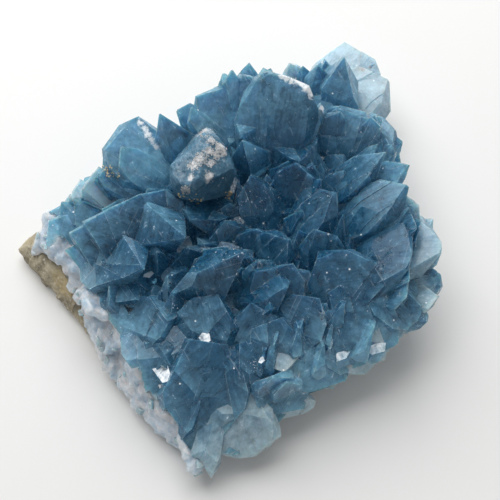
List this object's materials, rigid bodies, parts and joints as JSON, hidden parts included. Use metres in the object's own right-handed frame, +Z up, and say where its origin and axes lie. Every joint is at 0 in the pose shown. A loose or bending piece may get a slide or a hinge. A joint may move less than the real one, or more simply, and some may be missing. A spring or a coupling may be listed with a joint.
{
  "type": "celestite crystal cluster",
  "caption": "Loose cluster of intergrown blue bladed crystals in a shallow bowl shape, on a pale seam and a tan host rock with a flat base.",
  "frame": {"origin": "middle of the bounding box's underside, in the plane of the host rock's flat underside", "axes": "+Z up out of the crystals, +X along the specimen's longest side towards its upper right end, +Y across it"},
  "size_m": [0.1182, 0.0906, 0.0411],
  "materials": {
    "celestite": "translucent grey-blue crystal, glossy faces, paler at the tips and whitish in the seam",
    "host_rock": "dull tan weathered sedimentary rock"
  },
  "bodies": {
    "root": {"celestite_crystals": "celestite", "host_rock": "host_rock"}
  },
  "joints": []
}
